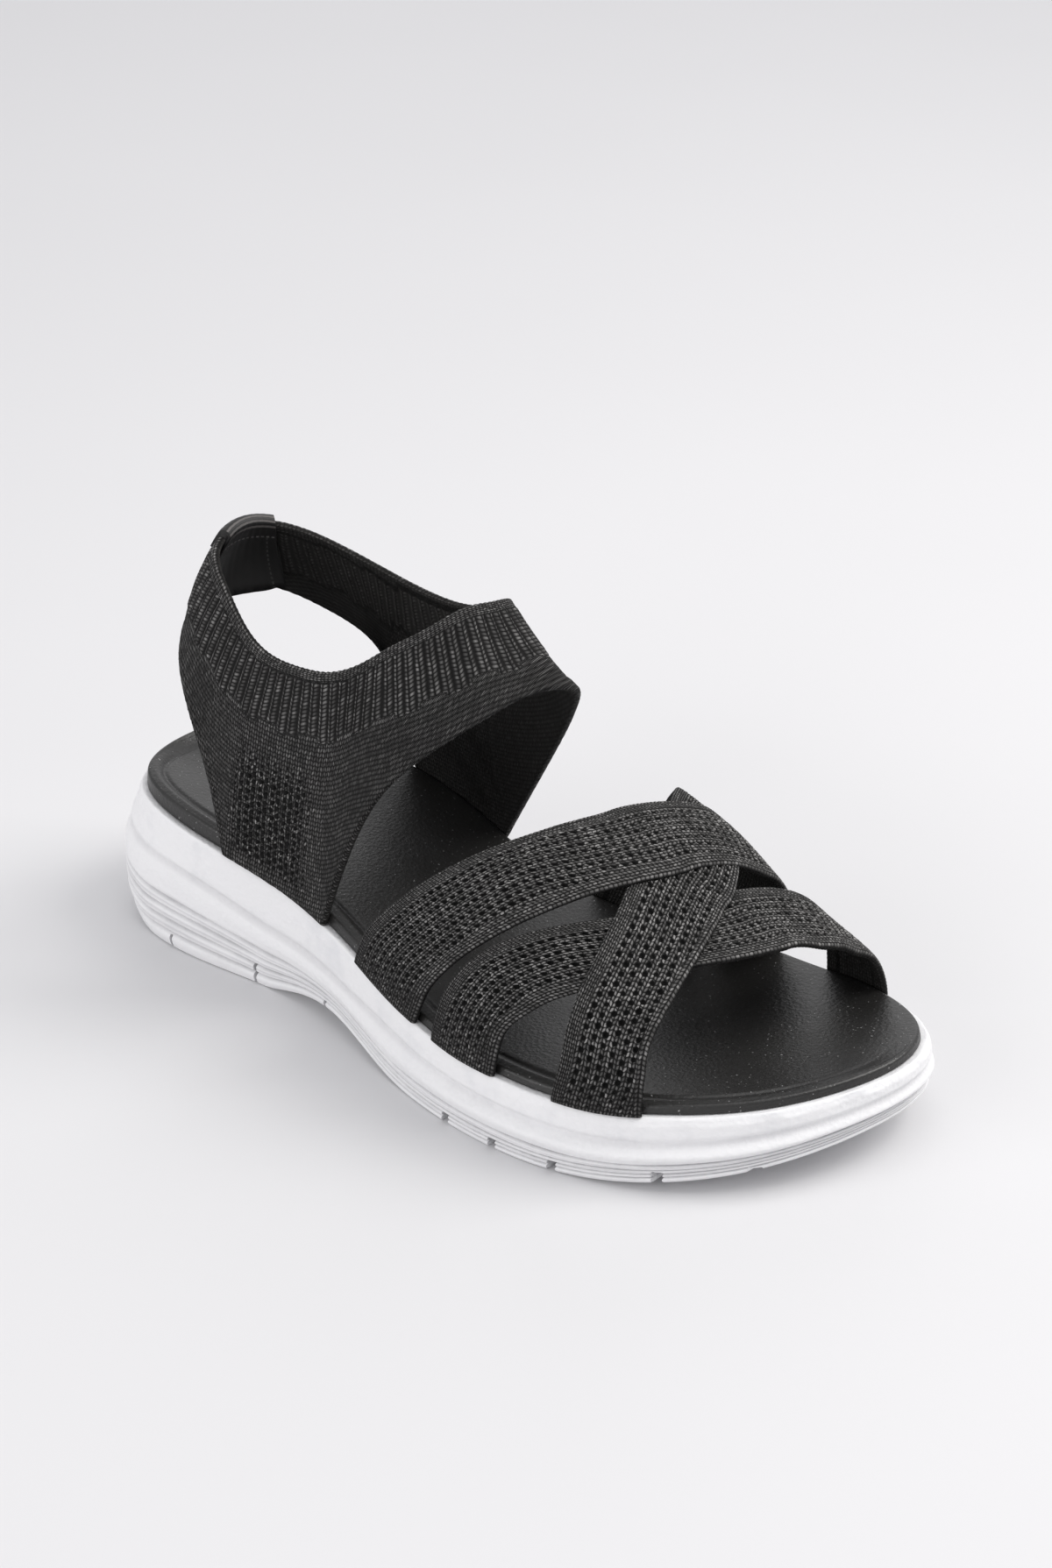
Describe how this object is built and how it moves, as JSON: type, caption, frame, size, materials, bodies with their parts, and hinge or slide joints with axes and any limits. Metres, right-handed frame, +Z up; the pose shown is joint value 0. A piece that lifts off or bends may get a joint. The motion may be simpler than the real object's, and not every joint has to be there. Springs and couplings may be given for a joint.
{
  "type": "platform sandal",
  "caption": "Right platform sandal: ribbed moulded sole, wrapped footbed, crossing knitted forefoot straps and a knitted ankle collar.",
  "frame": {"origin": "middle of the outline seen from above, on the floor that the sole stands on", "axes": "+X from the heel to the toe, +Y to the medial side, which is the left of this right shoe, +Z up"},
  "size_m": [0.2632, 0.1062, 0.1244],
  "materials": {
    "sole": "matte moulded foam, bright white",
    "footbed": "fine grained black wrap with a soft sheen",
    "knit": "black and charcoal knit",
    "lining": "smooth black tape"
  },
  "bodies": {
    "root": {"sole": "sole", "footbed": "footbed", "forefoot_straps": "knit", "ankle_collar": "knit", "heel_patch": "lining"}
  },
  "joints": []
}
